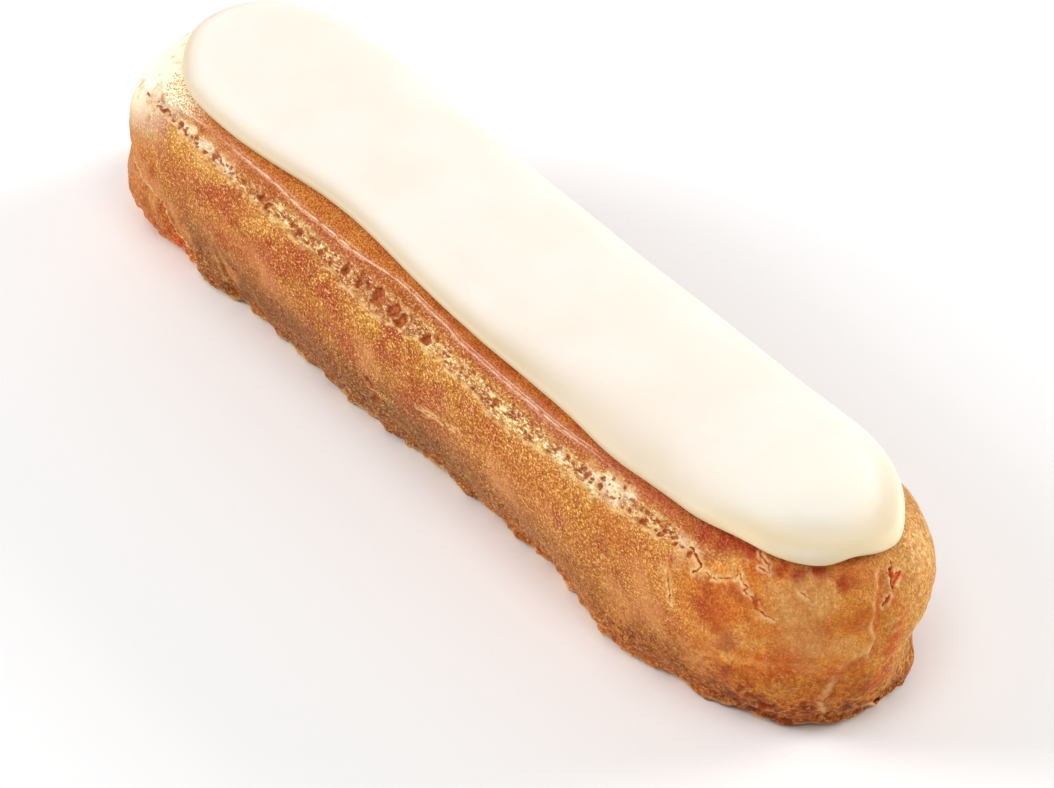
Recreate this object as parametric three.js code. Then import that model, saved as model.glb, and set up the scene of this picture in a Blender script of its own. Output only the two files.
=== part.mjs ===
// An eclair: one baked choux shell, uncut and so solid, with a slab of poured fondant along its top.
// Millimetres, +Z up. The shell stands on its flat baked base at z = 0. Its length runs along X,
// with the creased end at +X, and the side with the rough foot faces -Y.
import * as THREE from "three";
import { mergeVertices } from "three/addons/utils/BufferGeometryUtils.js";

// Plan of the shell: rings at growing distance round a spine, as a piped tube of dough spreads.
const HALF_LENGTH = 71;
const SPINE_NEAR = 53.2;
const SPINE_FAR = -SPINE_NEAR;
const BOW = 1.1; // how far the ends turn towards +Y of the middle

// Profile of the shell's side, from the base up: half width and height of each form.
const FOOT = { reach: 12.4, height: 2.0, round: 1.0 };
const BULGE = { reach: 15.9, height: 15.5 };
const BULGE_DROOP = 0.75; // 1 curves from the foot as an ellipse does, less spreads it up the side
const CROWN_HEIGHT = 26.1;
const CROWN_TILT = 0.7; // the crown stands higher towards +X
const CROWN_SAG = 0.3; // and a little higher at both ends

// The ends are longer than half circles, by these factors at the foot and at the bulge.
const NEAR_END = { foot: 1.41, bulge: 1.33, fullness: 2.3 };
const FAR_END = { foot: 1.3, bulge: 0.7, fullness: 2.0 };
const SIDE_FULLNESS = 2.4; // 2 is an ellipse, more is a squarer shoulder

// Fondant slab: its own plan, its thickness, and the gap that keeps it off the crust.
const ICING = { far: -45.5, near: 53.2, reach: 11.9, aside: 0.8, thickness: 2.2, rim: 1.1 };
const ICING_END = { near: 1.4, far: 1.05 };
const CONTACT_GAP = 0.3;

// Where the poured edge runs out past that plan or stays back from it.
const ICING_WAVES = [
  { at: [-38, -11], spread: 13, out: 0.6 },
  { at: [-14, -11], spread: 16, out: -1.2 },
  { at: [40, -11], spread: 9, out: 0.7 },
  { at: [66, -3], spread: 9, out: 0.8 },
  { at: [61, 11], spread: 8, out: -0.3 },
  { at: [-52, 10], spread: 12, out: -2.0 },
];

// How finely the surfaces are divided: round an end, along a side, and up the profile.
const END_STEPS = 18;
const SIDE_STEPS = 30;
const BULGE_STEPS = 7;
const CROWN_STEPS = 9;
const RIM_STEPS = 6;
const SLAB_SHARES = [0, 0.3, 0.6, 0.8]; // rings of the fondant, as shares of the way to its rim
const WELD = 0.001; // points closer than this are one point

const QUARTER_TURN = Math.PI / 2;

// Swellings and dents of the baked dough: centre, how far they spread, how far they push outwards.
const SWELLINGS = [
  { at: [-57, -14, 3], spread: 7, out: 1.5 }, // lip under the far end's fold
  { at: [-50, -13.5, 2], spread: 3, out: 1.7 }, // its corner
  { at: [-41, -13.5, 1], spread: 3, out: 3.2 }, // knob on the foot
  { at: [12, -13, 2], spread: 12, out: -1.0 }, // the foot is drawn in along the middle
  { at: [29, -13, 2], spread: 7, out: -0.7 }, // and before the next knob
  { at: [44, -13.5, 1], spread: 6, out: 2.4 }, // long knob on the foot
  { at: [58, -11, 3], spread: 6, out: -0.6 }, // the foot is drawn in past it
  { at: [68, 10, 15], spread: 8, out: 1.4 }, // the bulge of the near end swells towards +Y
  { at: [67, 7, 2], spread: 5, out: 2.0 }, // foot spread out under it
  { at: [69, 8, 8.5], spread: 4, out: -2.8 }, // and the waist between them
  { at: [-52, 13, 18], spread: 9, out: -1.0 }, // the far end slopes away towards +Y
];

// Furrows where the dough folded on itself: the points that each runs through, width and depth.
const FURROWS = [
  // down the near end from the fondant to the foot
  { path: [[68, 4, 23], [70.9, 1.4, 19], [71.4, -1.5, 13.8], [68.5, -4.7, 6]], width: 1.6, depth: 1.3 },
  // along the near end's side, above its lower skirt
  { path: [[56, -15, 11], [64.6, -11.4, 12.4], [70.4, -4.7, 13.4]], width: 1.8, depth: 0.5 },
  // round the far end's fold
  { path: [[-60, -14, 12], [-55, -15, 8], [-50, -13, 2]], width: 1.8, depth: 0.9 },
];

// One station of a ring: where it is on the spine, and which way is outwards there.
function ringStations(far, near) {
  const stations = [];
  const addEnd = (x, start) => {
    for (let i = 0; i < END_STEPS; i += 1) {
      const turn = start + (Math.PI * i) / END_STEPS;
      stations.push({ x, cos: Math.cos(turn), sin: Math.sin(turn) });
    }
  };
  const addSide = (from, to, sin) => {
    for (let i = 0; i < SIDE_STEPS; i += 1) {
      stations.push({ x: from + ((to - from) * i) / SIDE_STEPS, cos: 0, sin });
    }
  };
  addEnd(near, -QUARTER_TURN);
  addSide(near, far, 1);
  addEnd(far, QUARTER_TURN);
  addSide(far, near, -1);
  return stations;
}

// Sideways place of the spine: an arc, less its own average over the length.
function bowAt(x) {
  return BOW * ((x / HALF_LENGTH) ** 2 - 1 / 3);
}

function crownAt(x) {
  const along = x / HALF_LENGTH;
  return CROWN_HEIGHT + CROWN_TILT * along + CROWN_SAG * along ** 2;
}

function fullnessTowards(cos) {
  const end = cos > 0 ? NEAR_END.fullness : FAR_END.fullness;
  return SIDE_FULLNESS + (end - SIDE_FULLNESS) * cos ** 2;
}

function stretchTowards(cos, upToBulge) {
  const end = cos > 0 ? NEAR_END : FAR_END;
  return THREE.MathUtils.lerp(end.foot, end.bulge, upToBulge);
}

// A point of the shell at a station, before swellings and furrows.
function shellPoint(station, reach, height, upToBulge) {
  const x = station.x + reach * station.cos * stretchTowards(station.cos, upToBulge);
  return new THREE.Vector3(x, reach * station.sin + bowAt(x), height);
}

// The shell's rings from the middle of the base, out and up the side, to the top of the spine.
function shellRings(stations) {
  const rings = [];
  const addRing = (reach, height, upToBulge) => {
    rings.push(stations.map((station) => shellPoint(station, reach, height, upToBulge)));
  };
  addRing(0, 0, 0);
  addRing(FOOT.reach / 2, 0, 0);
  addRing(FOOT.reach - FOOT.round, 0, 0);
  addRing(FOOT.reach, FOOT.height / 2, 0);
  addRing(FOOT.reach, FOOT.height, 0);
  for (let i = 1; i <= BULGE_STEPS; i += 1) {
    const turn = (QUARTER_TURN * i) / BULGE_STEPS;
    const rise = (1 - Math.cos(turn)) ** BULGE_DROOP;
    const spread = Math.sin(turn);
    addRing(
      THREE.MathUtils.lerp(FOOT.reach, BULGE.reach, spread),
      THREE.MathUtils.lerp(FOOT.height, BULGE.height, rise),
      spread,
    );
  }
  for (let i = 1; i <= CROWN_STEPS; i += 1) {
    const turn = (QUARTER_TURN * i) / CROWN_STEPS;
    rings.push(
      stations.map((station) => {
        const power = 2 / fullnessTowards(station.cos);
        const reach = i === CROWN_STEPS ? 0 : BULGE.reach * Math.cos(turn) ** power;
        const point = shellPoint(station, reach, 0, 1);
        point.z = THREE.MathUtils.lerp(BULGE.height, crownAt(point.x), Math.sin(turn) ** power);
        return point;
      }),
    );
  }
  return rings;
}

function falloff(distance, spread) {
  return Math.exp(-((distance / spread) ** 2));
}

function distanceToPath(point, path) {
  const nearest = new THREE.Vector3();
  let least = Infinity;
  for (let i = 1; i < path.length; i += 1) {
    const part = new THREE.Line3(new THREE.Vector3(...path[i - 1]), new THREE.Vector3(...path[i]));
    part.closestPointToPoint(point, true, nearest);
    least = Math.min(least, nearest.distanceTo(point));
  }
  return least;
}

// Pushes a point of the side outwards or inwards by all the swellings and furrows near it.
function shapeDough(point, station) {
  let out = 0;
  for (const swelling of SWELLINGS) {
    const distance = point.distanceTo(new THREE.Vector3(...swelling.at));
    out += swelling.out * falloff(distance, swelling.spread);
  }
  for (const furrow of FURROWS) {
    out -= furrow.depth * falloff(distanceToPath(point, furrow.path), furrow.width);
  }
  point.x += out * station.cos;
  point.y += out * station.sin;
}

// Height of the plain crown over a point of the plan, for what lies on it.
function crownOver(x, y) {
  const pastNear = Math.max(x - SPINE_NEAR, 0) / NEAR_END.bulge;
  const pastFar = Math.max(SPINE_FAR - x, 0) / FAR_END.bulge;
  const along = pastNear - pastFar;
  const across = y - bowAt(x);
  const distance = Math.hypot(along, across);
  const fullness = fullnessTowards(distance > 0 ? along / distance : 0);
  const share = Math.min(distance / BULGE.reach, 1);
  return THREE.MathUtils.lerp(BULGE.height, crownAt(x), (1 - share ** fullness) ** (1 / fullness));
}

function crownNormal(x, y) {
  const step = 0.05;
  const slopeX = (crownOver(x + step, y) - crownOver(x - step, y)) / (2 * step);
  const slopeY = (crownOver(x, y + step) - crownOver(x, y - step)) / (2 * step);
  return new THREE.Vector3(-slopeX, -slopeY, 1).normalize();
}

// Where in the plan the fondant is at a station, for a distance from its spine.
function icingPlan(station, reach) {
  const stretch = station.cos > 0 ? ICING_END.near : ICING_END.far;
  const x = station.x + reach * station.cos * stretch;
  return [x, reach * station.sin + bowAt(x) + ICING.aside];
}

// How far the fondant reaches at a station, with the waves of its edge.
function icingReach(station) {
  const [x, y] = icingPlan(station, ICING.reach);
  let reach = ICING.reach;
  for (const wave of ICING_WAVES) {
    const distance = Math.hypot(x - wave.at[0], y - wave.at[1]);
    reach += wave.out * falloff(distance, wave.spread);
  }
  return reach;
}

// A point over the crown, inside the fondant's edge by a share of its reach, lifted off the crust.
function icingPoint(station, share, lift) {
  const [x, y] = icingPlan(station, icingReach(station) * share);
  return new THREE.Vector3(x, y, crownOver(x, y)).addScaledVector(crownNormal(x, y), lift);
}

// The fondant's rings: from the middle of its underside out to its round rim, and back over its top.
function icingRings(stations) {
  const rings = [];
  const addRing = (share, lift) => {
    rings.push(stations.map((station) => icingPoint(station, share, lift)));
  };
  const rimShare = ICING.rim / ICING.reach;
  const slabShares = SLAB_SHARES.map((share) => share * (1 - rimShare));
  for (const share of slabShares) addRing(share, CONTACT_GAP);
  for (let i = 0; i <= RIM_STEPS; i += 1) {
    const turn = (Math.PI * i) / RIM_STEPS - QUARTER_TURN;
    const share = 1 - rimShare + rimShare * Math.cos(turn);
    addRing(share, CONTACT_GAP + (ICING.thickness / 2) * (1 + Math.sin(turn)));
  }
  for (const share of slabShares.reverse()) addRing(share, CONTACT_GAP + ICING.thickness);
  return rings;
}

// Joins neighbouring rings by faces that look outwards, as one closed surface.
function skinOver(rings) {
  const columns = rings[0].length;
  const positions = rings.flat().flatMap((point) => point.toArray());
  const faces = [];
  for (let row = 0; row + 1 < rings.length; row += 1) {
    for (let column = 0; column < columns; column += 1) {
      const next = (column + 1) % columns;
      const lower = row * columns;
      const upper = lower + columns;
      faces.push(lower + column, lower + next, upper + next);
      faces.push(lower + column, upper + next, upper + column);
    }
  }
  const skin = new THREE.BufferGeometry();
  skin.setAttribute("position", new THREE.Float32BufferAttribute(positions, 3));
  skin.setIndex(faces);
  return withoutEmptyFaces(mergeVertices(skin, WELD));
}

// Where a ring has closed to the spine, its two sides share points and some faces have no area left.
function withoutEmptyFaces(skin) {
  const corners = skin.getIndex().array;
  const kept = [];
  for (let i = 0; i < corners.length; i += 3) {
    const [a, b, c] = corners.slice(i, i + 3);
    if (a !== b && b !== c && c !== a) kept.push(a, b, c);
  }
  skin.setIndex(kept);
  skin.computeVertexNormals();
  return skin;
}

function makeChoux() {
  const stations = ringStations(SPINE_FAR, SPINE_NEAR);
  const rings = shellRings(stations);
  // The middle of the base and the top of the crown stay plain.
  const outerRings = rings.slice(2, -1);
  for (const ring of outerRings) ring.forEach((point, i) => shapeDough(point, stations[i]));
  const crust = new THREE.MeshStandardMaterial({ color: 0xb9793f, roughness: 0.6, metalness: 0 });
  const choux = new THREE.Mesh(skinOver(rings), crust);
  choux.name = "choux";
  return choux;
}

function makeIcing() {
  const rings = icingRings(ringStations(ICING.far, ICING.near));
  const fondant = new THREE.MeshStandardMaterial({ color: 0xf6ead6, roughness: 0.35, metalness: 0 });
  const icing = new THREE.Mesh(skinOver(rings), fondant);
  icing.name = "icing";
  return icing;
}

const eclair = new THREE.Group();
eclair.add(makeChoux(), makeIcing());

// The swellings move the outline a little, so the whole is centred on the middle of its length and width.
const extent = new THREE.Box3().setFromObject(eclair);
const middle = extent.getCenter(new THREE.Vector3());
for (const piece of eclair.children) piece.geometry.translate(-middle.x, -middle.y, 0);

export default eclair;
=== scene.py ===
# An iced eclair: the baked choux shell, a film of glaze along its shoulder, and the fondant on top.
# Metres, +Z up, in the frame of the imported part. The creased end is at +X, the knobbly side at -Y.
import math
import random

import bmesh
import bpy
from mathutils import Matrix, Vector, noise
from mathutils.bvhtree import BVHTree
from mathutils.kdtree import KDTree


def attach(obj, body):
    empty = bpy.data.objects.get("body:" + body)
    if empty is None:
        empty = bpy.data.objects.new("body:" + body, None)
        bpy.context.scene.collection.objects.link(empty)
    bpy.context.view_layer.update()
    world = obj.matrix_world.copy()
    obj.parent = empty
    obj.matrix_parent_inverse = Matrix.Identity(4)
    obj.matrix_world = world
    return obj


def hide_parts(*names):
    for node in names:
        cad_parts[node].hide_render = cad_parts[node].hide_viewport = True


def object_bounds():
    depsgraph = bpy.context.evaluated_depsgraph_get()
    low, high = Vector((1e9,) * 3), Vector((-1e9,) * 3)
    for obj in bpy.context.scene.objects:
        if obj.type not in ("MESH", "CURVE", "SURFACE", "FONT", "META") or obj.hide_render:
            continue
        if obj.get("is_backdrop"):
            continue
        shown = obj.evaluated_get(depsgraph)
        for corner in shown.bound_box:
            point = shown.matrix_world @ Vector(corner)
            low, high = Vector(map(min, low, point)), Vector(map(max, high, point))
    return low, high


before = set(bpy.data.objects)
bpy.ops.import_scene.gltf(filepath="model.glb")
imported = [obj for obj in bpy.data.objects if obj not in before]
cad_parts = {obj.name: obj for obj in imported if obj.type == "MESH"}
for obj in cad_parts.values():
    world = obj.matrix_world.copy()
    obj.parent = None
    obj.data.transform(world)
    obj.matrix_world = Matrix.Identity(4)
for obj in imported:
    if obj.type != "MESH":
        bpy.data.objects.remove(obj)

solid_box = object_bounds()
MM = 0.001


# The choux shell: one piped tube of dough, puffed in the oven and dried to a thin brittle crust.
# It stands on its foot, which stuck to the tray and tore a little. Steam blistered a band along
# each shoulder till it flaked, and the dough folded over itself and cracked at both ends.

SHELL_LEVELS = 2  # how often the solid's faces are halved before the fine work
ICED_FROM = 23.6  # mm, above this the crust lies under icing and stays plain

# The flaked band: its torn lower edge and its upper edge as places along the length and heights,
# in mm, and how far out from the middle its bubbles lie at about the middle of its height.
BAND_EDGE = [
    (-58.0, 21.4), (-43.0, 20.8), (-25.0, 20.6), (-6.5, 19.9), (4.0, 20.7), (14.0, 20.8), (21.0, 19.7),
    (29.0, 20.5), (40.0, 20.6), (48.0, 21.4), (57.0, 22.0),
]
BAND_ROOF = [
    (-58.0, 21.9), (-36.0, 21.8), (-23.0, 22.2), (-17.0, 21.9), (-6.0, 22.4), (-2.0, 22.1), (3.0, 22.5),
    (10.0, 22.1), (20.0, 22.3), (34.0, 22.1), (41.0, 22.9), (52.0, 22.9),
]
BAND_REACH = 14.2
BAND_HEIGHT = 21.4

# Burst bubbles in the band: place along the length, height and radius, in mm.
BIG_BUBBLES = [
    (-41.0, 21.2, 0.35), (-37.5, 21.6, 0.35), (-34.3, 21.5, 0.4), (-30.4, 21.4, 0.6),
    (-28.8, 21.2, 0.45), (-23.6, 21.4, 0.35), (-22.0, 21.2, 0.6), (-17.6, 20.9, 0.4),
    (-12.5, 21.4, 0.8), (-9.7, 21.2, 0.75), (-7.9, 21.8, 0.55), (-5.6, 21.5, 1.25), (-2.4, 21.6, 1.0),
    (-0.5, 21.3, 0.95), (4.4, 21.3, 0.8), (18.7, 21.2, 0.45), (36.2, 21.7, 0.6), (38.6, 21.6, 0.45),
    (44.3, 22.0, 0.35), (46.5, 21.8, 0.35), (49.6, 22.0, 0.35), (54.9, 22.5, 0.4),
]
SMALL_BUBBLES = 230  # along each shoulder

# Torn pits elsewhere: where in mm, radius and depth.
PITS = [
    ((62.1, -11.2, 6.7), 0.5, 0.4), ((62.6, -10.7, 5.9), 0.5, 0.4), ((63.8, -9.2, 4.3), 0.75, 0.5),
    ((60.2, -10.6, 3.3), 0.45, 0.35), ((59.6, -9.7, 1.5), 0.5, 0.35), ((67.4, -6.5, 5.7), 0.5, 0.3),
    ((68.2, -3.5, 3.4), 0.6, 0.45), ((63.4, -7.7, 1.8), 0.5, 0.35), ((53.9, -13.1, 4.8), 0.6, 0.35),
    ((69.4, 2.2, 3.5), 0.6, 0.45), ((69.2, 3.4, 3.1), 0.5, 0.4), ((58.5, -11.2, 3.3), 0.5, 0.3),
    ((-12.2, -14.2, 4.6), 0.7, 0.4), ((-6.5, -15.5, 9.6), 0.5, 0.3), ((-5.2, -15.0, 7.2), 0.7, 0.4),
    ((-16.8, -13.0, 2.4), 0.6, 0.35), ((-36.4, -15.3, 8.6), 0.45, 0.3), ((-35.3, -15.1, 8.0), 0.4, 0.3),
    ((-52.3, -10.5, 23.8), 0.5, 0.3),
]

# Rusty stains, where the crust caught: where in mm and radius.
STAINS = [
    ((54.4, -11.0, 24.0), 1.2), ((56.7, -10.4, 24.0), 1.8), ((58.6, -9.7, 24.0), 1.6),
    ((60.2, -9.1, 23.8), 1.0), ((62.5, -8.3, 23.4), 0.9), ((63.9, -7.5, 23.1), 0.9),
    ((65.6, -6.1, 22.9), 1.1), ((66.6, -4.4, 22.9), 1.0), ((68.7, -2.3, 21.9), 0.8),
    ((52.8, -14.5, 20.3), 0.6), ((60.7, -12.5, 8.4), 1.1), ((71.6, 3.5, 17.2), 0.5),
    ((71.8, 3.2, 15.8), 0.8), ((71.8, 2.7, 14.2), 0.9), ((71.7, 2.2, 12.4), 0.8),
    ((71.3, 2.9, 10.4), 0.6), ((71.0, 2.2, 8.6), 0.6), ((60.0, -11.4, 4.4), 2.2),
    ((63.0, -9.8, 4.4), 1.6), ((67.6, -6.0, 4.6), 0.9), ((69.6, -2.0, 4.4), 1.0),
    ((-51.4, -14.9, 6.9), 1.2), ((-50.8, -14.7, 5.3), 1.3), ((-50.5, -14.4, 4.0), 1.1),
    ((-50.6, -13.4, 2.3), 1.3), ((-16.5, -10.8, 24.1), 0.5), ((-13.5, -14.4, 4.9), 1.3),
    ((-6.0, -15.2, 8.2), 1.1),
]

# Fainter flushes of the same red: where in mm and radius.
FLUSHES = [
    ((58.4, -13.6, 19.2), 1.4), ((58.6, -13.8, 16.6), 1.8), ((61.0, -13.1, 13.5), 1.6),
    ((62.2, -11.8, 19.6), 1.5), ((71.4, 2.8, 18.5), 0.6), ((71.2, 1.8, 9.9), 0.6),
    ((71.0, 0.5, 8.0), 1.6), ((69.9, 4.2, 20.9), 0.8), ((70.3, 3.4, 20.3), 0.5),
    ((70.9, 2.4, 19.3), 0.7), ((-35.3, -15.8, 17.6), 1.2), ((-42.0, -15.7, 17.0), 1.3),
    ((9.5, -15.8, 17.0), 1.6), ((33.6, -15.9, 14.4), 1.5), ((41.2, -15.8, 15.9), 1.3),
    ((47.0, -14.0, 4.5), 1.8), ((52.0, -13.6, 5.0), 1.2), ((45.0, -15.7, 12.7), 1.5),
]

# Pale places, where in mm and radius: most took less colour in the oven, and those on the band are
# painted glare where light catches it.
PALE_SPOTS = [
    ((40.5, -13.4, 22.5), 1.8), ((43.0, -13.1, 22.7), 1.2), ((53.2, -13.5, 21.4), 1.5),
    ((52.1, -15.0, 18.6), 0.9), ((55.4, -13.2, 21.6), 1.2), ((57.2, -13.2, 20.9), 0.6),
    ((61.8, -11.4, 21.0), 0.7), ((67.4, -8.0, 17.6), 4.2), ((68.0, 9.5, 20.0), 3.0),
    ((66.5, 9.2, 21.8), 2.5), ((71.3, 5.0, 17.1), 1.4), ((56.4, -13.0, 9.0), 2.0),
    ((31.6, -15.9, 14.9), 0.7), ((-38.0, -14.6, 7.0), 2.2), ((44.0, -15.2, 9.0), 3.0),
    ((-56.6, -15.6, 14.5), 1.5), ((-54.6, -15.6, 12.2), 1.5), ((-52.0, -15.6, 11.0), 1.4),
    ((-49.6, -15.4, 9.0), 1.5), ((-47.6, -15.0, 6.6), 1.5), ((-57.4, -15.0, 8.6), 1.2),
    ((-54.6, -15.0, 7.6), 1.2), ((-28.0, -15.9, 13.0), 2.6), ((-6.0, -16.0, 13.5), 2.4),
    ((22.0, -15.9, 11.0), 2.6), ((49.0, -15.4, 15.5), 2.0), ((50.5, -15.2, 12.0), 2.6),
    ((36.5, -13.8, 21.9), 1.4), ((31.3, -14.3, 21.5), 0.5), ((68.6, -4.4, 5.2), 1.0),
    ((69.4, -4.7, 7.6), 0.7), ((-47.5, -13.8, 21.2), 1.5), ((-43.0, -13.9, 21.3), 1.9),
    ((-38.5, -14.0, 21.2), 1.6),
]

# Cracks in the crust: the points each runs through in mm, half width and depth.
CRACKS = [
    ([(68.9, 4.0, 22.0), (69.5, 3.5, 21.3), (70.3, 3.1, 20.4), (70.6, 3.0, 19.9)], 0.2, 0.5),
    ([(69.7, 4.8, 21.0), (70.3, 3.8, 20.7), (70.5, 3.3, 20.3)], 0.28, 0.25),
    ([(70.9, 2.5, 19.5), (71.3, 1.4, 18.7)], 0.22, 0.35),
    ([(54.3, -13.0, 22.3), (55.6, -12.9, 22.1), (56.5, -13.0, 21.8), (56.8, -13.4, 21.0),
      (56.3, -13.9, 20.2)], 0.13, 0.22),
    ([(57.1, -13.6, 20.6), (57.5, -13.2, 21.0), (58.5, -12.9, 20.8), (59.5, -12.4, 21.1),
      (60.8, -11.5, 21.5)], 0.08, 0.12),
    ([(60.8, -11.5, 21.5), (60.5, -11.3, 22.0), (60.3, -10.8, 22.5), (60.6, -9.9, 23.2)], 0.08, 0.12),
    ([(61.1, -11.0, 21.9), (62.3, -11.0, 21.0), (62.3, -11.3, 20.5), (63.8, -10.9, 19.8),
      (63.9, -11.0, 19.2), (64.7, -10.6, 18.7), (66.1, -9.7, 18.1)], 0.1, 0.16),
    ([(60.7, -8.1, 24.2), (61.6, -8.3, 23.8), (62.7, -8.4, 23.2), (63.3, -8.6, 22.7)], 0.09, 0.14),
    ([(62.2, -9.1, 23.0), (63.2, -8.8, 22.6)], 0.09, 0.14),
    ([(66.7, -6.9, 21.4), (67.5, -6.5, 20.9), (68.1, -6.0, 20.5)], 0.07, 0.1),
    ([(53.0, -14.9, 18.8), (53.6, -15.1, 17.1), (53.8, -15.2, 15.3)], 0.09, 0.14),
    ([(4.3, -15.7, 12.2), (7.2, -15.7, 12.9), (10.4, -15.8, 13.4), (13.5, -15.8, 14.4)], 0.08, 0.12),
    ([(69.2, 1.0, 2.9), (68.3, 4.2, 1.8)], 0.3, 0.4),
]

# Folds, where the dough rolled over itself: points in mm with the higher side on the right of
# the way they run, height of the lip, its width, the drop beyond it, and how far the drop reaches.
# Where a fold or crack is worked in, its line is walked in steps of STATION_STEP mm at most.
FOLDS = [
    ([(-45.0, -14.5, 3.9), (-47.6, -14.3, 4.4), (-49.4, -14.5, 5.2), (-50.3, -15.0, 7.2),
      (-51.0, -15.2, 8.9), (-52.7, -15.4, 9.8), (-55.2, -15.4, 10.2), (-56.2, -15.5, 11.6),
      (-57.4, -15.4, 12.4), (-57.8, -15.2, 14.0)], 0.25, 0.2, 1.2, 3.0),
    ([(69.0, 2.1, 22.3), (69.9, 1.3, 21.0), (70.8, 0.3, 19.6), (71.3, 0.0, 18.4), (71.5, -0.5, 17.0),
      (71.7, -0.4, 14.9), (71.4, -1.1, 12.1)], 0.15, 0.22, 0.4, 3.0),
    ([(71.6, -0.7, 13.5), (70.7, -3.3, 12.4), (70.3, -4.1, 11.1)], 0.06, 0.3, 0.2, 2.4),
    ([(70.3, -4.1, 11.1), (69.8, -4.4, 9.1), (69.0, -4.8, 6.8), (68.3, -4.0, 3.0)],
     0.12, 0.4, 0.3, 2.4),
    ([(66.5, 11.6, 13.2), (68.8, 9.2, 13.1), (70.4, 7.0, 12.9), (71.1, 5.0, 12.2), (71.0, 4.5, 11.4),
      (71.4, 3.0, 11.2), (71.4, 2.2, 11.0)], 0.15, 0.25, 0.6, 3.0),
    ([(57.6, -13.7, 10.3), (61.5, -12.4, 11.1), (65.6, -10.0, 12.2), (68.1, -7.7, 12.5),
      (70.0, -5.0, 12.5)], 0.05, 0.2, 0.12, 3.0),
    ([(-7.8, -15.5, 9.0), (-4.8, -15.3, 8.6), (-1.7, -15.3, 9.1), (0.1, -15.1, 8.7)],
     0.08, 0.2, 0.15, 1.5),
    ([(-40.6, -15.2, 8.6), (-40.0, -15.0, 7.7), (-38.7, -13.8, 3.5)], 0.08, 0.25, 0.3, 2.0),
]
STATION_STEP = 0.15
SEED = 7  # for where the small bubbles lie and how the cracks and folds wander


def piece_named(name, mesh):
    """A new object of that mesh, in the scene and at the origin."""
    made = bpy.data.objects.new(name, mesh)
    bpy.context.scene.collection.objects.link(made)
    return made


def skin_of(node, name):
    """A new piece with a solid's form, its loose triangles joined and paired into a few-sided skin."""
    form = bmesh.new()
    form.from_mesh(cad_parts[node].data)
    bmesh.ops.remove_doubles(form, verts=form.verts, dist=0.01 * MM)
    flat = math.radians(60)
    bmesh.ops.join_triangles(
        form, faces=form.faces, angle_face_threshold=flat, angle_shape_threshold=flat)
    mesh = bpy.data.meshes.new(name)
    form.to_mesh(mesh)
    form.free()
    return piece_named(name, mesh)


def smoothed(piece, levels):
    """Rounds the piece by a subdivision surface and keeps the result as its mesh."""
    rounding = piece.modifiers.new("rounding", "SUBSURF")
    rounding.levels = rounding.render_levels = levels
    bpy.context.view_layer.update()
    seen = piece.evaluated_get(bpy.context.evaluated_depsgraph_get())
    coarse, piece.data = piece.data, bpy.data.meshes.new_from_object(seen)
    piece.modifiers.clear()
    bpy.data.meshes.remove(coarse)


def halve_long_edges(form, longest, wanted):
    """Halves the edges longer than that, in mm, whose middle is wanted."""
    edges = [
        edge for edge in form.edges if edge.calc_length() > longest * MM
        and wanted((edge.verts[0].co + edge.verts[1].co) / (2 * MM))
    ]
    bmesh.ops.subdivide_edges(form, edges=edges, cuts=1, use_grid_fill=True)


def bell(distance, spread):
    """1 at no distance, falling smoothly to about nothing at twice the spread."""
    return math.exp(-(distance / spread) ** 2)


def ramp(value, low, high):
    """0 below low, 1 above high and an even slope between."""
    return min(max((value - low) / (high - low), 0.0), 1.0)


def between(points, x):
    """The height at x of a smooth line through (x, height) points."""
    for (x0, y0), (x1, y1) in zip(points, points[1:]):
        if x <= x1:
            share = max((x - x0) / (x1 - x0), 0)
            return y0 + (y1 - y0) * share * share * (3 - 2 * share)
    return points[-1][1]


def over_band_edge(place):
    """Height of a place over the band's torn lower edge, in mm."""
    side = 9 if place.y < 0 else 20  # another row of the noise on each side
    torn = 0.5 * noise.noise(Vector((place.x / 2.2, 0, side)))
    torn += 0.3 * noise.noise(Vector((place.x / 0.8, side, 0)))
    return place.z - between(BAND_EDGE, place.x) - torn


def along_band(place):
    """1 along the part of the length that has the band, falling to 0 past its ends."""
    return ramp(place.x, -59, -53) * (1 - ramp(place.x, 51, 58))


def band_share(place):
    """How far a place in mm belongs to the flaked band along the shoulder."""
    over_roof = place.z - between(BAND_ROOF, place.x) - 0.4 * noise.noise(place / 2.5)
    over_roof -= 0.2 * noise.noise(place / 0.7)
    return along_band(place) * ramp(over_band_edge(place), 0, 0.2) * (1 - ramp(over_roof, -0.1, 0.2))


def glazed_share(place):
    """How far a place lies in the smooth glazed strip between the bubbles and the icing."""
    along_body = ramp(place.x, -56, -46) * (1 - ramp(place.x, 56, 60))
    over = place.z - between(BAND_ROOF, place.x)
    return along_body * ramp(over, 0.0, 0.4) * (1 if place.y < 0 else 0.6)


def relief(place):
    """How far the crust stands proud at a place in mm, in mm, before the bubbles and cracks."""
    bare = 1 - ramp(place.z, ICED_FROM - 3, ICED_FROM)
    low = 1 - ramp(place.z, 4, 15)
    billows = 0.32 * noise.noise(place / 13) + 0.2 * noise.noise(place / 6)
    slant = Vector((place.x + 0.7 * place.z, place.y, 0.35 * place.z)) / 3.6
    pleats = 0.35 * low * (abs(noise.noise(slant)) - 0.25)
    torn = bell(place.z, 2.8) * (0.6 * noise.noise(place / 3.2) + 0.45 * noise.noise(place / 1.2))
    lip = 0.3 * bell(place.z, 0.7) * (0.6 + noise.noise(place / 5))
    drawn_in = 1.1 * bell((place - Vector((69.2, 4.6, 1.5))).length, 3.6)
    return bare * (billows + pleats) + torn + lip - drawn_in - 0.12 * band_share(place)


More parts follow.
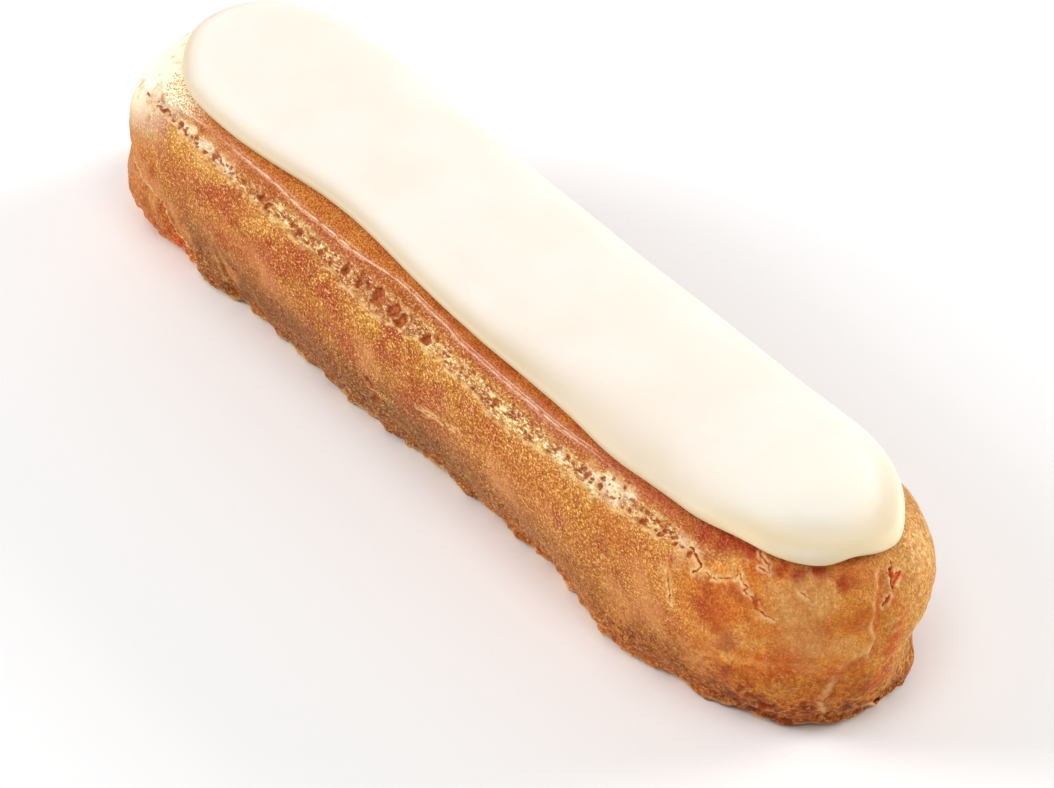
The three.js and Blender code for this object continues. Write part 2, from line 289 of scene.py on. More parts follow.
def grit(place):
    """The small lumps of the crust at a place in mm, in mm."""
    rough = 1 - 0.85 * glazed_share(place)
    low = 1 - ramp(place.z, 3, 10)
    lumps = (0.09 + 0.10 * low) * noise.noise(place / 1.7)
    lumps += (0.06 + 0.08 * low) * noise.noise(place / 0.8)
    flakes = 0.2 * band_share(place) * noise.noise(Vector((0.7 * place.x, place.y, place.z)) / 0.6)
    return rough * (lumps + flakes)


def move_out(form, offset):
    """Moves each point along its normal by offset(place in mm), itself in mm."""
    form.normal_update()
    moves = [(vert, vert.normal * offset(vert.co / MM) * MM) for vert in form.verts]
    for vert, move in moves:
        vert.co += move


def along(points, step):
    """Places in mm along a line through points, at most that step apart."""
    for start, end in zip(points, points[1:]):
        start, end = Vector(start), Vector(end)
        steps = max(1, math.ceil((end - start).length / step))
        for i in range(steps):
            yield start.lerp(end, i / steps)
    yield Vector(points[-1])


def search_tree(places):
    """A tree that finds the nearest of some places."""
    tree = KDTree(len(places))
    for number, place in enumerate(places):
        tree.insert(place, number)
    tree.balance()
    return tree


def on_shell(place):
    """The nearest point of the crust to a place in mm and its normal, in metres."""
    return surface.find_nearest(Vector(place) * MM)[:2]


def wandering(line, crinkle):
    """A line's places on the crust and their normals, straying from it by that many mm."""
    places = list(along(line, STATION_STEP))
    strays = [noise.noise_vector(p / 1.6) * 0.3 + noise.noise_vector(p / 0.5) * crinkle for p in places]
    return [on_shell(p + stray) for p, stray in zip(places, strays)]


noise.seed_set(SEED)  # without one, noise_vector starts from another place in each run
shell = skin_of("choux", "choux_shell")
smoothed(shell, SHELL_LEVELS)
form = bmesh.new()
form.from_mesh(shell.data)
halve_long_edges(form, 0.6, lambda p: 0.3 < p.z < ICED_FROM + 0.5)
halve_long_edges(form, 0.3, lambda p: 19.6 < p.z < 22.9 and -58 < p.x < 57)
move_out(form, relief)
surface = BVHTree.FromBMesh(form)
fold_stations = [wandering(line, 0.08) for line, *_ in FOLDS]
crack_stations = [wandering(line, 0.25) for line, *_ in CRACKS]
fold_tree = search_tree([centre / MM for stations in fold_stations for centre, _ in stations])
crack_tree = search_tree([centre / MM for stations in crack_stations for centre, _ in stations])
halve_long_edges(form, 0.3, lambda p: fold_tree.find(p)[2] < 0.7)
halve_long_edges(form, 0.3, lambda p: crack_tree.find(p)[2] < 0.7)
halve_long_edges(form, 0.15, lambda p: crack_tree.find(p)[2] < 0.45)
halve_long_edges(form, 0.09, lambda p: crack_tree.find(p)[2] < 0.25)

surface = BVHTree.FromBMesh(form)
points = search_tree([vert.co for vert in form.verts])
form.verts.ensure_lookup_table()
form.verts.index_update()
sunk = [0.0] * len(form.verts)
raised = [0.0] * len(form.verts)
stain_and_shade = [0.0] * len(form.verts)
pale = [0.0] * len(form.verts)
shift = [grit(vert.co / MM) for vert in form.verts]


def around(place, radius, waver, stretch=1.0):
    """The points near a place, with their distance in radii, its outline wavering by that share."""
    centre = on_shell(place)[0]
    for _, index, _ in points.find_range(centre, 1.8 * stretch * radius * MM):
        seen = form.verts[index].co
        away = Vector(((seen.x - centre.x) / stretch, seen.y - centre.y, seen.z - centre.z)).length
        yield index, away / (radius * MM) + waver * noise.noise(seen / (max(radius, 0.6) * MM))


def press(place, radius, depth, stretch=1.0):
    """A hollow with a flat floor and a slight rim, stretched along the length."""
    for index, share in around(place, radius, 0.5, stretch):
        hollow = 1 - ramp(share, 0.65, 1.0)
        shift[index] += 0.25 * depth * bell(share - 1.2, 0.25) - depth * hollow
        sunk[index] = max(sunk[index], hollow)
        wall = bell(share - 1.2, 0.16) * ramp(noise.noise(form.verts[index].co / (0.5 * MM)), -0.3, 0.4)
        raised[index] = max(raised[index], 0.8 * ramp(radius, 0.2, 0.6) * wall - hollow)


def blot(values, place, radius, most=1.0):
    """Marks a soft-edged spot in a list of values."""
    for index, share in around(place, radius, 0.9):
        values[index] = max(values[index], most * (1 - ramp(share, 0.3, 1.5)))


def beside(stations, reach):
    """The points within reach of a line on the crust: index, share of the way, signed distance."""
    tree = search_tree([centre for centre, _ in stations])
    seen = {index for centre, _ in stations for _, index, _ in points.find_range(centre, reach * MM)}
    last = len(stations) - 1
    for index in seen:
        place = form.verts[index].co
        centre, number, distance = tree.find(place)
        way = stations[min(number + 2, last)][0] - stations[max(number - 2, 0)][0]
        right = way.cross(stations[number][1])
        side = 1 if (place - centre).dot(right) > 0 else -1
        yield index, number / last, side * distance / MM


chance = random.Random(SEED)
for side in (-1, 1):
    for x, z, radius in BIG_BUBBLES:
        press((x, BAND_REACH * side, z), radius, min(0.5 * radius, 0.4))
    for _ in range(SMALL_BUBBLES):
        x = chance.uniform(-57, 55)
        height = chance.uniform(between(BAND_EDGE, x) + 0.3, between(BAND_ROOF, x) - 0.1)
        radius = chance.uniform(0.10, 0.22)
        stretch = chance.uniform(1.0, 2.6)
        press((x, (BAND_REACH + BAND_HEIGHT - height) * side, height), radius, 0.8 * radius, stretch)
for place, radius, depth in PITS:
    press(place, radius, depth)
for place, radius in STAINS:
    blot(stain_and_shade, place, radius)
for place, radius in FLUSHES:
    blot(stain_and_shade, place, radius, 0.7)
for place, radius in PALE_SPOTS:
    blot(pale, place, radius)

for stations, (_, half_width, depth) in zip(crack_stations, CRACKS):
    for index, share, offset in beside(stations, 0.4 + 3 * half_width):
        place = form.verts[index].co / MM
        width = half_width * (0.6 + 1.6 * share * (1 - share)) * (1 + 0.8 * noise.noise(place / 0.4))
        whole = ramp(noise.noise(place / 0.9) + 2 * depth, -0.2, 0.3)
        groove = whole * (1 - ramp(abs(offset), 0.5 * width, 1.1 * width))
        lip = bell(abs(offset) - width - 0.16, 0.2) * ramp(noise.noise(place / 0.8), -0.4, 0.1)
        shift[index] += 0.3 * depth * lip - depth * groove
        sunk[index] = max(sunk[index], groove)
        raised[index] = max(raised[index], lip * (1 - groove))

# A pale torn edge round the foot, and a raised one where the band's flakes begin.
for vert in form.verts:
    place = vert.co / MM
    if place.z > 0.15:
        foot = 0.9 * bell(place.z - 0.6, 0.5) * ramp(noise.noise(place / 4), -0.4, 0.1)
        over = over_band_edge(place)
        rim = along_band(place) * bell(over + 0.08, 0.18) * ramp(noise.noise(place / 1.1), -0.3, 0.2)
        shift[vert.index] += 0.18 * rim
        raised[vert.index] = max(raised[vert.index], foot, rim)
for stations, (_, lip, width, drop, reach) in zip(fold_stations, FOLDS):
    for index, share, offset in beside(stations, reach):
        fade = ramp(share, 0, 0.12) * (1 - ramp(share, 0.88, 1))
        place = form.verts[index].co / MM
        ragged = ramp(noise.noise(place / 1.2) + 0.6 * noise.noise(place / 0.5), -0.6, 0.3)
        crest = bell(offset - 0.18, 0.32) * ragged
        below = ramp(-offset, 0, 0.35) * (1 - ramp(-offset, 0.3 * reach, reach))
        shift[index] += fade * (lip * crest - drop * below)
        edge = fade * ragged * bell(offset - 0.8 * width, width) * min(6 * lip, 1)
        raised[index] = max(raised[index], edge)
        # Painted shade: a reddish band of shade just below each fold's lip, marked with the stains.
        stain_and_shade[index] = max(stain_and_shade[index], fade * bell(offset + 0.5, 0.6) * min(0.6, drop))

form.normal_update()
moves = [vert.normal * shift[vert.index] * MM for vert in form.verts]
for vert, move in zip(form.verts, moves):
    vert.co += move
    vert.co.z = max(vert.co.z, 0.0)
for face in form.faces:
    face.smooth = True
form.to_mesh(shell.data)
form.free()


def store(piece, name, values):
    """Keeps one number for each point of a piece, for its material."""
    piece.data.attributes.new(name, "FLOAT", "POINT").data.foreach_set("value", values)


store(shell, "sunk", sunk)
store(shell, "raised", raised)
store(shell, "stain_and_shade", stain_and_shade)
store(shell, "pale", pale)
store(shell, "band", [band_share(vert.co / MM) for vert in shell.data.vertices])
store(shell, "glazed", [glazed_share(vert.co / MM) for vert in shell.data.vertices])


class Wire:
    """A socket of a material, on which Python's own operators add the Math nodes of a sum."""

    def __init__(self, finish, socket):
        self.finish, self.socket = finish, socket

    def maths(self, operation, *terms):
        inputs = dict(enumerate(terms))
        return self.finish.node("ShaderNodeMath", {"operation": operation}, inputs)

    def __add__(self, other):
        return self.maths("ADD", self, other)

    __radd__ = __add__

    def __sub__(self, other):
        return self.maths("SUBTRACT", self, other)

    def __rsub__(self, other):
        return self.maths("SUBTRACT", other, self)

    def __mul__(self, other):
        return self.maths("MULTIPLY", self, other)

    __rmul__ = __mul__

    def rise(self, low, high):
        """0 below low, 1 above high, smooth between."""
        inputs = {"Value": self, "From Min": low, "From Max": high}
        return self.finish.node("ShaderNodeMapRange", {"interpolation_type": "SMOOTHSTEP"}, inputs)


class Finish:
    """One material. node adds any node, and the methods after set add the kinds most used."""

    def __init__(self, name):
        self.material = bpy.data.materials.new(name)
        self.material.use_nodes = True
        self.tree = self.material.node_tree
        self.shader = self.tree.nodes["Principled BSDF"]

    def feed(self, socket, value):
        if isinstance(value, Wire):
            self.tree.links.new(value.socket, socket)
        elif isinstance(value, tuple) and len(value) == 3 and socket.type == "RGBA":
            socket.default_value = (*value, 1)
        else:
            socket.default_value = value

    def node(self, kind, settings=None, inputs=None, output=0):
        made = self.tree.nodes.new(kind)
        for name, value in (settings or {}).items():
            setattr(made, name, value)
        for name, value in (inputs or {}).items():
            self.feed(made.inputs[name], value)
        return Wire(self, made.outputs[output])

    def set(self, **sockets):
        """Feeds the shader's own sockets, an underscore standing for each space of their names."""
        for name, value in sockets.items():
            self.feed(self.shader.inputs[name.replace("_", " ")], value)

    def blend(self, share, low, high):
        """A colour between two others."""
        settings = {"data_type": "RGBA"}
        return self.node("ShaderNodeMix", settings, {0: share, 6: low, 7: high}, 2)

    def tinted(self, colour, tint):
        """A colour multiplied by another."""
        settings = {"data_type": "RGBA", "blend_type": "MULTIPLY"}
        return self.node("ShaderNodeMix", settings, {0: 1.0, 6: colour, 7: tint}, 2)

    def grain(self, place, size, detail=2.0, roughness=0.5):
        """Noise from 0 to 1 whose lumps are about that many mm across."""
        inputs = {"Vector": place, "Scale": 1 / size, "Detail": detail, "Roughness": roughness}
        return self.node("ShaderNodeTexNoise", None, inputs)

    def place(self, scale=(1, 1, 1)):
        """The piece's own coordinates in mm, stretched by a scale."""
        seen = self.node("ShaderNodeTexCoord", output="Object")
        inputs = {"Vector": seen, "Scale": tuple(share / MM for share in scale)}
        return self.node("ShaderNodeMapping", None, inputs)

    def axis(self, place, name):
        return self.node("ShaderNodeSeparateXYZ", None, {0: place}, name)

    def attribute(self, name):
        return self.node("ShaderNodeAttribute", {"attribute_name": name}, output="Fac")

    def bump(self, relief, distance, under=None):
        """A normal from a relief of 0 to 1 that is that many mm deep."""
        inputs = {"Height": relief, "Distance": distance * MM}
        if under is not None:
            inputs["Normal"] = under
        return self.node("ShaderNodeBump", None, inputs)


# Colours of the bake, roughly from the palest to the darkest.
# GLARE_PALE is no colour of the bake: it paints the glare on the other end's top.
GLARE_PALE = (0.92, 0.80, 0.52)
CREAM = (0.78, 0.50, 0.18)
PEACH = (0.66, 0.28, 0.11)
YELLOW = (0.58, 0.250, 0.028)
GOLD = (0.48, 0.152, 0.008)
ORANGE = (0.44, 0.100, 0.005)
TAN = (0.34, 0.100, 0.010)
RUST = (0.40, 0.055, 0.005)
STAIN = (0.37, 0.038, 0.007)
SCORCHED = (0.29, 0.030, 0.004)
BROWN = (0.25, 0.042, 0.002)

crust = Finish("baked_crust")
place = crust.place()
height = crust.axis(place, "Z")
sideways = crust.axis(place, "X")
across = crust.axis(place, "Y")
near_end = sideways.rise(50.0, 62.0)
far_end = 1 - sideways.rise(-65.0, -46.0)
band = crust.attribute("band")
glazed = crust.attribute("glazed")
sunk = crust.attribute("sunk")
raised = crust.attribute("raised")
stain_and_shade = crust.attribute("stain_and_shade")
pale = crust.attribute("pale")

# The patterns that the colours follow, from broad patches down to specks.
patches = crust.grain(crust.place((0.8, 1, 1.1)), 6.5, 3.0, 0.6)
mottle = crust.grain(place, 2.4, 3.0, 0.6)
speck = crust.grain(crust.place((0.8, 1, 1)), 0.26, 3.0, 0.8)
threads = crust.grain(crust.place((0.45, 1, 1)), 0.26, 3.0, 0.8)
speck = speck + (threads - speck) * band
crumbs = crust.grain(place, 0.6, 3.0, 0.65)
streaks = crust.grain(crust.place((0.35, 1, 1)), 1.2, 3.0, 0.6)
stain = crust.grain(crust.place((0.7, 1, 1.2)), 5.0, 2.0, 0.6)
veins = crust.grain(place, 3.2, 4.0, 0.6) - 0.5
veins = 1 - veins.maths("ABSOLUTE", veins).rise(0.002, 0.03)

# The long sides: gold with orange patches, yellower below the band, partly as painted highlight where
# the light grazes the shoulder, and browner and darker low down, partly as painted shade towards the
# foot.
side = crust.blend(patches.rise(0.44, 0.54), GOLD, ORANGE)
side = crust.blend(height.rise(15.5, 19.5) * (1 - patches.rise(0.40, 0.62)), side, YELLOW)
side = crust.blend(stain.rise(0.52, 0.60) * 0.7, side, RUST)
side = crust.blend((1 - stain.rise(0.38, 0.46)) * 0.7, side, (0.58, 0.21, 0.045))
side = crust.blend(sideways.rise(0.0, 25.0) * 0.4, side, (0.66, 0.27, 0.050))
# Darker low down: partly the bake's colour, partly painted shade.
low_tone_and_shade = (1 - height.rise(6.0, 14.0)) * (0.55 + mottle * 0.7)
side = crust.blend(low_tone_and_shade, side, crust.blend(sideways.rise(0.0, 25.0), (0.22, 0.064, 0.006), TAN))

# The creased end: blotchy orange with faint pale veins, and brown at its foot.
end = crust.blend(mottle.rise(0.35, 0.65), (0.74, 0.270, 0.050), (0.62, 0.170, 0.020))
end = crust.blend(stain.rise(0.50, 0.58) * 0.6, end, (0.56, 0.100, 0.016))
end = crust.blend((1 - stain.rise(0.38, 0.46)) * 0.6, end, (0.78, 0.38, 0.12))
end = crust.blend(across.rise(-5.0, 7.0) * 0.5, end, (0.50, 0.345, 0.095))
end = crust.blend((1 - height.rise(8.5, 12.0)) * 0.6, end, (0.42, 0.115, 0.006))
end = crust.blend((1 - height.rise(0.5, 6.0)) * 0.9, end, BROWN)
end = crust.blend(veins * mottle.rise(0.4, 0.6) * 0.25, end, CREAM)
colour = crust.blend(near_end, side, end)

# Low on the other end, beside the icing, at the pale places and the stains, and a painted reddish shade
# below the folds' lips.
far_side = 1 - sideways.rise(-50.0, -44.0)
colour = crust.blend(far_side * (1 - height.rise(9.0, 13.0)) * 0.8, colour, (0.50, 0.165, 0.032))
colour = crust.blend(glazed * 0.85, colour, (0.42, 0.095, 0.006))
paled = crust.blend(height.rise(17.0, 20.0), PEACH, (0.74, 0.40, 0.16))
colour = crust.blend(pale * 0.6, colour, paled)
stain_and_shade_red = crust.blend(height.rise(5.0, 9.0), (0.22, 0.042, 0.006), STAIN)
stain_and_shade_red = crust.blend(far_side, stain_and_shade_red, (0.56, 0.062, 0.012))
stain_and_shade_red = crust.blend(across.rise(-1.0, 1.5) * near_end, stain_and_shade_red, (0.58, 0.085, 0.018))
colour = crust.blend(stain_and_shade * (0.55 + mottle * 0.8), colour, stain_and_shade_red)

# Crumbs, low down and on the creased end.
dull = crust.tinted(colour, (0.80, 0.68, 0.50))
bright = crust.tinted(colour, (1.18, 1.30, 1.35))
clotted = crust.blend(crumbs.rise(0.38, 0.62), dull, bright)
clots = near_end * (0.5 + across.rise(3.0, 8.0) * 0.5) + (1 - height.rise(8.0, 13.0)) * 0.8
colour = crust.blend(clots, colour, clotted)
coarse = (1 - height.rise(4.0, 8.0)) * (0.2 + sideways.rise(-20.0, 0.0) * 0.35 + near_end * 0.35)
colour = crust.blend((1 - crumbs.rise(0.36, 0.46)) * coarse, colour, (0.14, 0.020, 0.002))
colour = crust.blend(crumbs.rise(0.55, 0.64) * coarse, colour, (0.60, 0.27, 0.055))

# The band's pale flakes, with dark flaws among them and two browner stretches. Their pallor is partly
# the flaked crust and partly painted sparkle where light catches the blistered shoulder.
flaws = crust.grain(crust.place((0.4, 1, 1)), 0.8, 3.0, 0.7)
browned = sideways.rise(-17.0, -11.0) * (1 - sideways.rise(0.0, 5.0)) * 0.8
browned = browned + sideways.rise(44.0, 52.0) * 0.35
flakes = crust.blend(flaws.rise(0.44, 0.60), (0.52, 0.21, 0.042), (0.90, 0.66, 0.30))
flakes = crust.blend(browned, flakes, (0.48, 0.17, 0.040))
flakes = crust.blend((1 - flaws.rise(0.36, 0.46)) * 0.85, flakes, (0.30, 0.065, 0.008))
colour = crust.blend(band * (0.45 + streaks.rise(0.40, 0.56) * 0.55), colour, flakes)
# Painted glare: the pale places on the band turned nearly white.
colour = crust.blend(pale * band * 0.6, colour, (0.95, 0.86, 0.66))

# Specks, dark and light, weaker on the other end, in the glazed strip and in pale places. The light
# ones, milky on the band, are partly painted glints.
belly = sideways.rise(-30.0, -8.0) * (1 - sideways.rise(28.0, 42.0))
contrast = (0.8 + height.rise(8.0, 14.0) * 0.25 + belly * 0.3) * (1 - patches.rise(0.44, 0.56) * 0.2)
contrast = contrast * (1 - far_end * 0.6) * (1 - glazed * 0.4) * (1 - pale * 0.5)
contrast = contrast + across.rise(3.0, 8.0) * near_end * 0.9
darker = crust.blend(near_end, (0.52, 0.36, 0.18), (0.80, 0.67, 0.50))
dark = crust.tinted(colour, crust.blend(band, darker, (0.52, 0.36, 0.24)))
light = crust.tinted(colour, crust.blend(near_end + band, (1.40, 1.70, 2.1), (1.28, 1.44, 1.65)))
milky = crust.blend(band, (1.0, 0.78, 0.39), (1.0, 0.94, 0.70))
light = crust.blend((1 - near_end) * 0.55, light, milky)
colour = crust.blend((1 - speck.rise(0.40, 0.51)) * contrast, colour, dark)
colour = crust.blend(speck.rise(0.54, 0.64) * contrast, colour, light)

# A warmer tone towards the foot: painted warm light bounced up onto the lower crust.
foot_bounce_tint = crust.blend(near_end, (1.22, 0.96, 0.60), (1.06, 0.94, 0.60))
bounce_tint = crust.blend(height.rise(1.0, 7.0), foot_bounce_tint, (1.04, 0.98, 0.68))
bounce_tint = crust.blend(height.rise(5.0, 12.0), bounce_tint, (1.0, 0.97, 0.80))
colour = crust.tinted(colour, crust.blend(height.rise(17.5, 21.5), bounce_tint, (1.0, 1.0, 0.95)))

# Painted glare: the top of the other end paled almost to white, in blotches, where the light catches
# it.
painted_glare = (1 - sideways.rise(-62.0, -48.0)) * height.rise(14.5, 21.0) * mottle.rise(0.20, 0.50)
glare_top = (1 - sideways.rise(-56.0, -45.0)) * height.rise(21.0, 22.5)
painted_glare = painted_glare + glare_top * mottle.rise(0.30, 0.60) * 0.6
painted_glare = painted_glare * (1 - across.rise(1.0, 9.0) * 0.8)
colour = crust.blend(painted_glare, colour, crust.blend(height.rise(17.0, 21.0), GLARE_PALE, (0.96, 0.88, 0.66)))

# Pale crests where the crust is raised, and dark floors where it is sunk.
crest = crust.blend(near_end, (0.88, 0.60, 0.24), (0.88, 0.58, 0.25))
colour = crust.blend(raised * 0.7, colour, crust.blend(far_side, crest, (0.95, 0.72, 0.42)))
floors = crust.blend(crumbs.rise(0.40, 0.60), SCORCHED, (0.44, 0.110, 0.018))
torn = crust.blend(mottle.rise(0.4, 0.6), (0.34, 0.028, 0.005), (0.56, 0.100, 0.015))
torn = crust.blend(height.rise(12.0, 16.0), torn, (0.68, 0.085, 0.018))
floors = crust.blend(near_end, floors, torn)
colour = crust.blend(sunk.rise(0.05, 0.55) * 0.9, colour, floors)

pores = crust.grain(place, 0.34, 2.0, 0.6)
lumps = crust.grain(place, 1.1, 2.0)
wrinkles = crust.grain(crust.place((0.3, 1, 1.3)), 1.0, 3.0, 0.6)
folds = lumps + wrinkles * (1 - height.rise(6.0, 14.0)) * 1.5
skin = crust.bump(pores, 0.14, under=crust.bump(folds, 0.24))
roughness = 0.5 - glazed * 0.2
crust.set(Base_Color=colour, Roughness=roughness, Normal=skin)
crust.shader.inputs["Specular IOR Level"].default_value = 0.13

shell.data.materials.clear()
shell.data.materials.append(crust.material)
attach(shell, "root")
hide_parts("choux")


# The glaze: a thin film of syrup that ran from under the icing over the shoulder's top and set
# there in a fine bright ridge, doubled in places.

# Where the film ends, as places along the length and across it in mm, and how high its ridge
# stands, as places along the length and shares of the usual height.
GLAZE_EDGE = [
    (-57.0, -12.4), (-54.0, -12.7), (-43.0, -12.4), (-30.0, -12.4), (-24.0, -12.6), (-14.0, -12.5),
    (-4.0, -11.9), (5.0, -12.2), (9.5, -12.6), (20.0, -12.7), (27.0, -12.7), (37.0, -12.3),
    (44.0, -12.1), (51.5, -11.8), (55.0, -11.4),
]
GLAZE_RIDGE = [
    (-57.0, 0.5), (-48.0, 0.6), (-42.0, 0.1), (-31.0, 1.0), (-28.0, 0.5), (-18.0, 1.3), (-12.0, 0.8),
    (-4.0, 0.5), (8.0, 0.6), (18.0, 0.5), (24.0, 0.9), (29.0, 1.0), (33.0, 0.3), (46.0, 0.1),
    (50.0, 0.1),
]
GLAZE_STEP = 0.35  # mm between its cross-sections
GLAZE_TUCK = 0.6  # mm past that line, where its edge lies sunk in the crust
GLAZE_WIDTH = 4.4  # mm, from that edge to the one under the icing
GLAZE_ACROSS = 60  # faces across it


def glaze_height(x, inward):
    """How high the film stands over the crust, at a distance in from its line, in mm."""
    whole = ramp(x, -57, -53) * (1 - ramp(x, 50, 55))
    broken = 1 - 0.8 * bell(x + 29.9, 0.5)
    strength = between(GLAZE_RIDGE, x)
    ridge = 0.09 * strength * bell(inward, 0.07 + 0.05 * strength) * broken
    doubled = bell(x + 1, 5) + ramp(x, 8, 14) * (1 - ramp(x, 34, 37))
    second = 0.035 * doubled * bell(inward - 0.32, 0.08)
    film = 0.05 * ramp(inward, 0.0, 0.4) * (1 - 0.6 * ramp(x, 32, 38))
    edge = 0.25 * (1 - ramp(inward, -0.55, -0.3))
    return whole * (ridge + second + film) - edge - 0.08 * (1 - whole)


length = GLAZE_EDGE[-1][0] - GLAZE_EDGE[0][0]
form = bmesh.new()
bmesh.ops.create_grid(
    form, x_segments=round(length / GLAZE_STEP), y_segments=GLAZE_ACROSS, size=0.5)
for vert in form.verts:
    x = GLAZE_EDGE[0][0] + (vert.co.x + 0.5) * length
    share = vert.co.y + 0.5
    inward = -GLAZE_TUCK + GLAZE_WIDTH * (0.35 * share + 0.65 * share ** 3)
    above = Vector((x, between(GLAZE_EDGE, x) + inward, 60)) * MM
    hit, normal, *_ = surface.ray_cast(above, Vector((0, 0, -1)))
    vert.co = hit + normal * glaze_height(x, inward) * MM
bmesh.ops.solidify(form, geom=form.faces[:], thickness=0.3 * MM)
bmesh.ops.recalc_face_normals(form, faces=form.faces)
for face in form.faces:
    face.smooth = True
mesh = bpy.data.meshes.new("glaze")
form.to_mesh(mesh)
form.free()
glaze = piece_named("glaze", mesh)

# Painted highlight on the film: a white line along its ridge, with gaps, and a faint painted sheen
# beside it.
ridge_shine = []
for vert in mesh.vertices:
    place = vert.co / MM
    inward = place.y - between(GLAZE_EDGE, place.x)
    gaps = ramp(noise.noise(Vector((place.x / 1.3, 0, 8))), -0.5, 0.3)
    ridge = 1.1 * between(GLAZE_RIDGE, place.x) * gaps * bell(inward, 0.08)
    ridge_shine.append(min(ridge + 0.12 * bell(inward - 0.35, 0.3) * bell(place.x - 23, 10), 1))
store(glaze, "ridge_shine", ridge_shine)

syrup = Finish("set_glaze")
place = syrup.place()
along_film = syrup.axis(place, "X")
thick = syrup.grain(place, 4.0, 2.0).rise(0.4, 0.6)
tint = syrup.blend(thick, (0.48, 0.130, 0.014), (0.43, 0.085, 0.007))
tint = syrup.blend((1 - along_film.rise(-10.0, 15.0)) * 0.4, tint, (0.58, 0.21, 0.042))
tint = syrup.blend(along_film.rise(30.0, 38.0) * 0.6, tint, (0.40, 0.062, 0.003))
tint = syrup.blend(1 - along_film.rise(-54.0, -44.0), tint, (0.86, 0.66, 0.34))
dots = syrup.grain(place, 0.22, 1.5)
dim = syrup.tinted(tint, (0.70, 0.50, 0.35))
bright = syrup.tinted(tint, (1.25, 1.6, 2.2))
dotted = syrup.blend(dots.rise(0.38, 0.62), dim, bright)
# Painted highlight and sheen: the film's colour whitened along its ridge and faintly beside it.
tint = syrup.blend(syrup.attribute("ridge_shine") * 0.8, dotted, (0.95, 0.80, 0.60))
dulled = 0.26 + (along_film.rise(32.0, 38.0) + 1 - along_film.rise(-43.0, -36.0)) * 0.25
syrup.set(Base_Color=tint, Roughness=dulled, Normal=syrup.bump(syrup.grain(place, 1.3, 2.0), 0.03))
syrup.shader.inputs["Specular IOR Level"].default_value = 0.2
glaze.data.materials.append(syrup.material)
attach(glaze, "root")


# The fondant: sugar icing poured warm along the top, about two millimetres thick. It set with a
# round edge and a soft sheen. Its rim is tinted darker and yellower: partly the crust seen through
# the thin edge, partly painted shade over the rounded rim and the near tip.

ICING_LEVELS = 3
ICING_SETTLES = 0.28  # mm it comes down, nearly all of the solid's gap to the crust

# Where its edge strays from the solid's: the middle of the stretch in mm, its reach, and how far
# it moves in mm.
EDGE_STRAYS = [
    ((59.0, -9.5, 25.0), 4.5, (-0.25, 0.6, 0.1)),
    ((67.4, -0.6, 23.2), 2.3, (-0.8, 0.0, 0.5)),
    ((66.7, 5.4, 23.2), 2.9, (0.7, 0.1, -0.3)),
    ((33.0, -12.4, 25.0), 9.0, (0.0, 0.4, 0.0)),
]

fondant = skin_of("icing", "fondant")
smoothed(fondant, ICING_LEVELS)
form = bmesh.new()
form.from_mesh(fondant.data)
move_out(form, lambda p: 0.10 * noise.noise(p / 11) + 0.03 * noise.noise(p / 4))
form.normal_update()
edge_tree = search_tree([vert.co.copy() for vert in form.verts if abs(vert.normal.z) < 0.3])
thin_rim_shade = []
for vert in form.verts:
    place = vert.co / MM
    inward = edge_tree.find(vert.co)[2] / MM
    for spot, reach, stray in EDGE_STRAYS:
        vert.co += Vector(stray) * bell((place - Vector(spot)).length, reach) * MM
    tip = ramp(place.x, 50, 58)
    rolled = 0.3 * bell(inward - 3.4, 1.2) - 0.15 * bell(inward - 1, 0.8)
    droop = 0.4 * bell(inward, 2.4) + tip * rolled
    vert.co.z -= (ICING_SETTLES + max(vert.normal.z, 0) * droop) * MM
    narrow = 0.3 * ramp(place.x, 18, 30)
    wide = bell(inward, 1.4 + 2.6 * bell(place.x - 38, 20))
    side_edge = (1 - narrow) * wide + narrow * bell(inward, 0.5)
    end_edge = 0.85 * math.exp(-(inward / (3.3 + ramp(place.x, 60, 64))) ** 3)
    end_edge -= 0.4 * bell(inward - 0.8, 0.6) * bell((place - Vector((66.2, -5.6, 25.6))).length, 3)
    end_edge *= 1 - 0.5 * ramp(place.y, 5, 10)
    end = ramp(place.x, 54, 60)
    thin_rim_shade.append((side_edge * (1 - end) + end_edge * end) * max(ramp(-place.y, -6, 2), end))
for face in form.faces:
    face.smooth = True
form.to_mesh(fondant.data)
form.free()
store(fondant, "thin_rim_shade", thin_rim_shade)

sugar = Finish("poured_fondant")
place = sugar.place()
cloud = sugar.grain(place, 14.0, 2.0)
colour = sugar.blend(cloud.rise(0.35, 0.65), (0.90, 0.80, 0.70), (0.92, 0.83, 0.75))
end = sugar.axis(place, "X").rise(48.0, 60.0)
colour = sugar.blend(end, colour, (0.93, 0.87, 0.76))
seen_through_and_shade = sugar.blend(end, (0.61, 0.49, 0.315), (0.78, 0.615, 0.36))
# The rim's darker, yellower tint: crust seen through the thin edge, and painted shade.
colour = sugar.blend(sugar.attribute("thin_rim_shade"), colour, seen_through_and_shade)
ripples = sugar.bump(sugar.grain(place, 2.5, 3.0), 0.05)
sugar.set(Base_Color=colour, Roughness=0.5, Normal=ripples)
sugar.shader.inputs["Specular IOR Level"].default_value = 0.2
sugar.shader.inputs["Subsurface Weight"].default_value = 0.2
sugar.shader.inputs["Subsurface Radius"].default_value = (1.0, 0.8, 0.5)
sugar.shader.inputs["Subsurface Scale"].default_value = 1.5 * MM
fondant.data.materials.clear()
fondant.data.materials.append(sugar.material)
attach(fondant, "root")
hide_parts("icing")


# The table: a plain pale surface under the eclair.

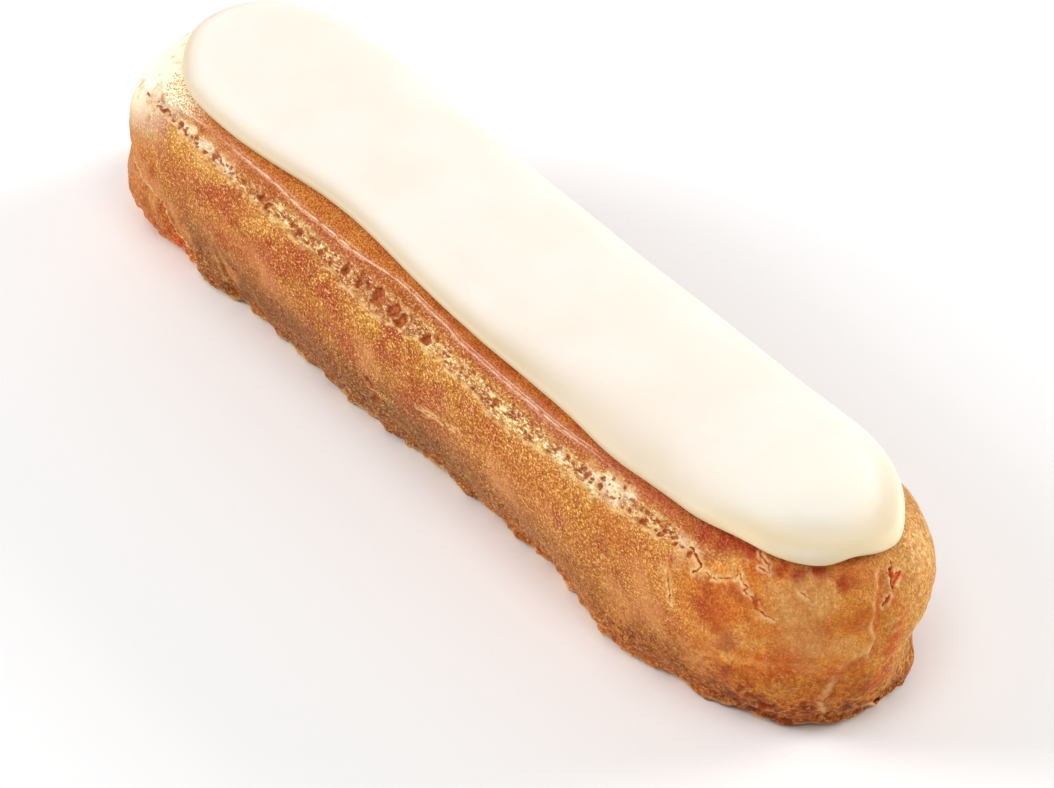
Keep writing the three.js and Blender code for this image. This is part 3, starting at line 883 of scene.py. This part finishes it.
form = bmesh.new()
bmesh.ops.create_grid(form, x_segments=1, y_segments=1, size=3.0)
mesh = bpy.data.meshes.new("table")
form.to_mesh(mesh)
form.free()
table = piece_named("table", mesh)
paper = Finish("pale_table")
paper.set(Base_Color=(0.94, 0.94, 0.94), Roughness=0.9)
paper.shader.inputs["Specular IOR Level"].default_value = 0.1
table.data.materials.append(paper.material)
table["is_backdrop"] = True


# Light: two soft boxes low at either side, one high in front, a broad one behind, and a pale room
# that fills the shadows.

LIGHT_DISTANCE = 1.5  # metres


def from_angles(azimuth, elevation):
    """The direction towards a viewer at that azimuth and elevation, in degrees."""
    turn, rise = math.radians(azimuth), math.radians(elevation)
    return Vector((math.sin(turn) * math.cos(rise), -math.cos(turn) * math.cos(rise), math.sin(rise)))


def soft_box(name, azimuth, elevation, brightness, size):
    """A square light that makes a white card facing it as bright as that, 1 being full white."""
    lamp = bpy.data.lights.new(name, "AREA")
    lamp.size = size
    lamp.energy = brightness * (math.pi * LIGHT_DISTANCE) ** 2
    made = piece_named(name, lamp)
    away = from_angles(azimuth, elevation)
    made.location = middle + away * LIGHT_DISTANCE
    made.rotation_euler = away.to_track_quat("Z", "Y").to_euler()


middle = (solid_box[0] + solid_box[1]) / 2
soft_box("left_box", 315, 20, 0.82, 0.7)
soft_box("right_box", 163, 15, 0.80, 0.7)
soft_box("high_box", 60, 65, 0.45, 1.0)
soft_box("back_box", 240, 15, 0.25, 1.4)
room = bpy.data.worlds.new("room")
room.use_nodes = True
room.node_tree.nodes["Background"].inputs["Color"].default_value = (1, 1, 1, 1)
room.node_tree.nodes["Background"].inputs["Strength"].default_value = 0.3
bpy.context.scene.world = room
bpy.context.scene.view_settings.view_transform = "Standard"


# Camera: a long lens that looks down past the creased end's corner.

LENS = 231.6  # mm
CAMERA_DISTANCE = 0.7884  # metres
aim = Vector((11.58, -5.01, 14.0)) * MM
lens = bpy.data.cameras.new("camera")
lens.lens = LENS
camera = piece_named("camera", lens)
away = from_angles(54.92, 36.9)
camera.location = aim + away * CAMERA_DISTANCE
camera.rotation_euler = away.to_track_quat("Z", "Y").to_euler()
bpy.context.scene.camera = camera

boxes = {"cad": solid_box, "visual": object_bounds()}
{name: [list(corner) for corner in box] for name, box in boxes.items()}
